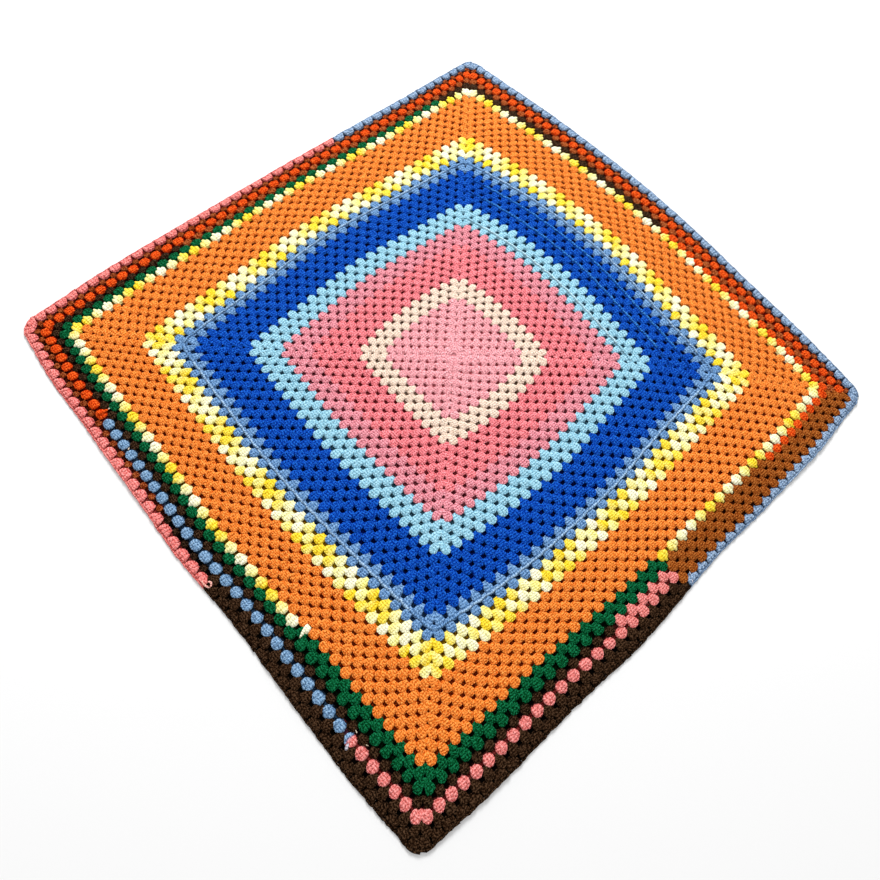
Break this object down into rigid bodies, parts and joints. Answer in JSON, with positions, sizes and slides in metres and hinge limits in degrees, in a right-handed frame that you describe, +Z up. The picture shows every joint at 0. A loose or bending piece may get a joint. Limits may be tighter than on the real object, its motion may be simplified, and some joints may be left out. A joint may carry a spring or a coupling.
{
  "type": "granny square blanket",
  "caption": "Crocheted blanket worked in rounds as one large granny square, lying flat, with a chain edge and gently bowed sides.",
  "frame": {"origin": "on the surface the blanket lies on, under the middle of its outline", "axes": "+Z up, out of the face that shows; the four sides run along X and Y, with the front at -Y"},
  "size_m": [1.239, 1.1824, 0.007],
  "materials": {
    "crochet_yarn": "matt acrylic yarn in bands of many colours"
  },
  "bodies": {
    "root": {"blanket": "crochet_yarn"}
  },
  "joints": []
}
